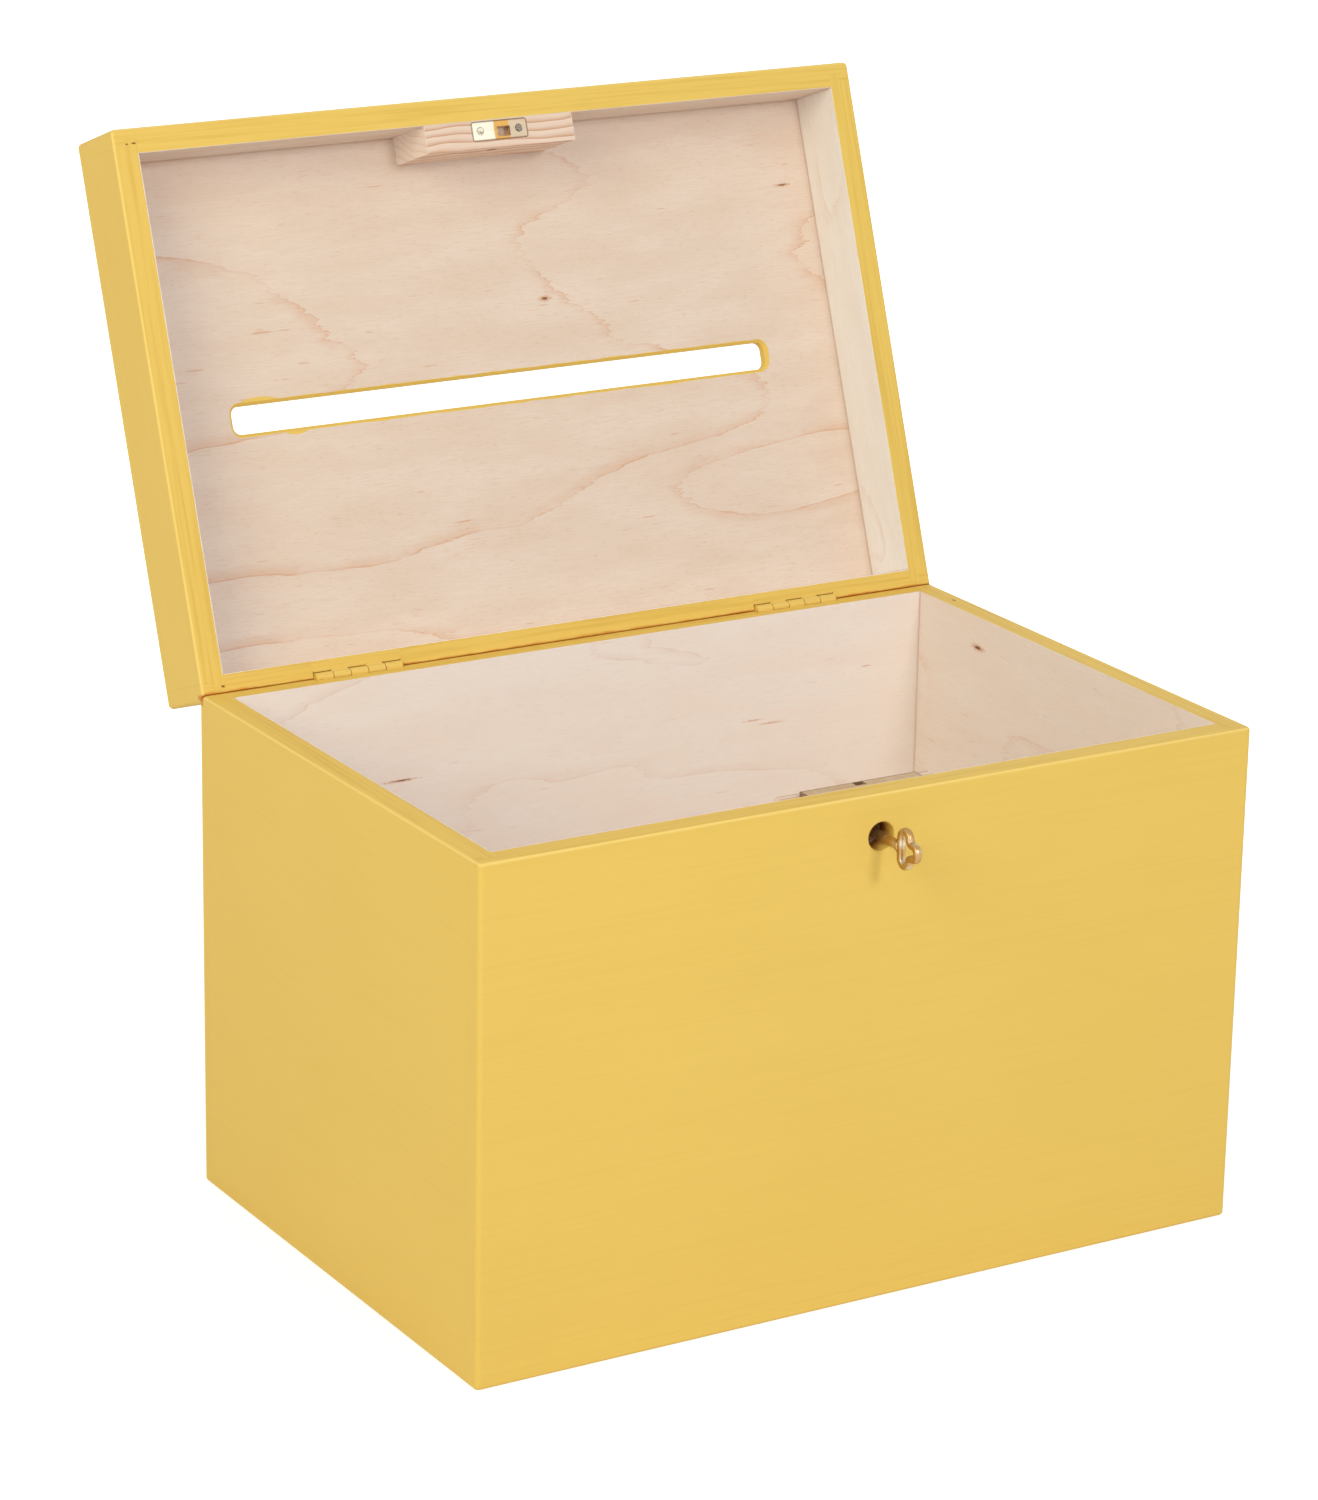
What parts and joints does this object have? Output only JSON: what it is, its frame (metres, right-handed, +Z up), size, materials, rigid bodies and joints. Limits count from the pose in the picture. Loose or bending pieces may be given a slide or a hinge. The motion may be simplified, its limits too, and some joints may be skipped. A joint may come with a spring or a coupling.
{
  "type": "wooden card box",
  "caption": "Painted plywood card box with a hinged lid that stands open, a long card slot in the lid, a hook lock behind a round keyhole and its trefoil key.",
  "frame": {"origin": "middle of the underside, on the surface that the box stands on", "axes": "+Z up, front with the keyhole towards -Y, +X to the right seen from the front"},
  "size_m": [0.3, 0.3139, 0.3643],
  "materials": {
    "painted_plywood": "satin yellow paint outside and on the rims, bare birch veneer inside",
    "raw_pine": "bare planed softwood",
    "painted_hinge": "thin metal painted over with the box",
    "key_brass": "polished, cast",
    "lock_brass": "dull pressed sheet",
    "nickel_plate": "bright plated",
    "steel_fixing": "plain steel"
  },
  "bodies": {
    "box": {"bottom_panel": "painted_plywood", "front_panel": "painted_plywood", "back_panel": "painted_plywood", "left_panel": "painted_plywood", "right_panel": "painted_plywood", "hinge_left_body_leaf": "painted_hinge", "hinge_left_pin": "painted_hinge", "hinge_left_body_screw_1": "painted_hinge", "hinge_left_body_screw_2": "painted_hinge", "hinge_right_body_leaf": "painted_hinge", "hinge_right_pin": "painted_hinge", "hinge_right_body_screw_1": "painted_hinge", "hinge_right_body_screw_2": "painted_hinge", "lock_block": "raw_pine", "lock_case": "lock_brass", "lock_cover": "lock_brass", "lock_hook_pivot": "steel_fixing", "lock_spring": "steel_fixing", "lock_screw_left": "steel_fixing", "lock_screw_right": "steel_fixing"},
    "lid": {"lid_top_panel": "painted_plywood", "lid_front_rail": "painted_plywood", "lid_back_rail": "painted_plywood", "lid_left_rail": "painted_plywood", "lid_right_rail": "painted_plywood", "hinge_left_lid_leaf": "painted_hinge", "hinge_left_lid_screw_1": "painted_hinge", "hinge_left_lid_screw_2": "painted_hinge", "hinge_right_lid_leaf": "painted_hinge", "hinge_right_lid_screw_1": "painted_hinge", "hinge_right_lid_screw_2": "painted_hinge", "keeper_block": "raw_pine", "keeper_plate": "nickel_plate", "keeper_screw_left": "steel_fixing", "keeper_screw_right": "steel_fixing"},
    "lock_hub": {"lock_hub": "lock_brass"},
    "lock_hook": {"lock_hook": "nickel_plate"},
    "key": {"key": "key_brass"}
  },
  "joints": [
    {"name": "lid_hinge", "type": "hinge", "parent": "box", "child": "lid", "pos_m": [0, 0.0968, 0.18025], "axis": [1, 0, 0], "range_deg": [0, 110]},
    {"name": "key_turn", "type": "hinge", "parent": "box", "child": "lock_hub", "pos_m": [0, -0.0883, 0.165], "axis": [0, -1, 0], "range_deg": [0, 90]},
    {"name": "hook_swing", "type": "hinge", "parent": "box", "child": "lock_hook", "pos_m": [0.0055, -0.0861, 0.1761], "axis": [0, 1, 0], "range_deg": [0, 74]},
    {"name": "key_withdraw", "type": "slide", "parent": "lock_hub", "child": "key", "axis": [0, -1, 0], "range_m": [0, 0.03]}
  ],
  "couplings": [
    {"joint": "hook_swing", "follows": "key_turn", "ratio": 0.8222}
  ]
}
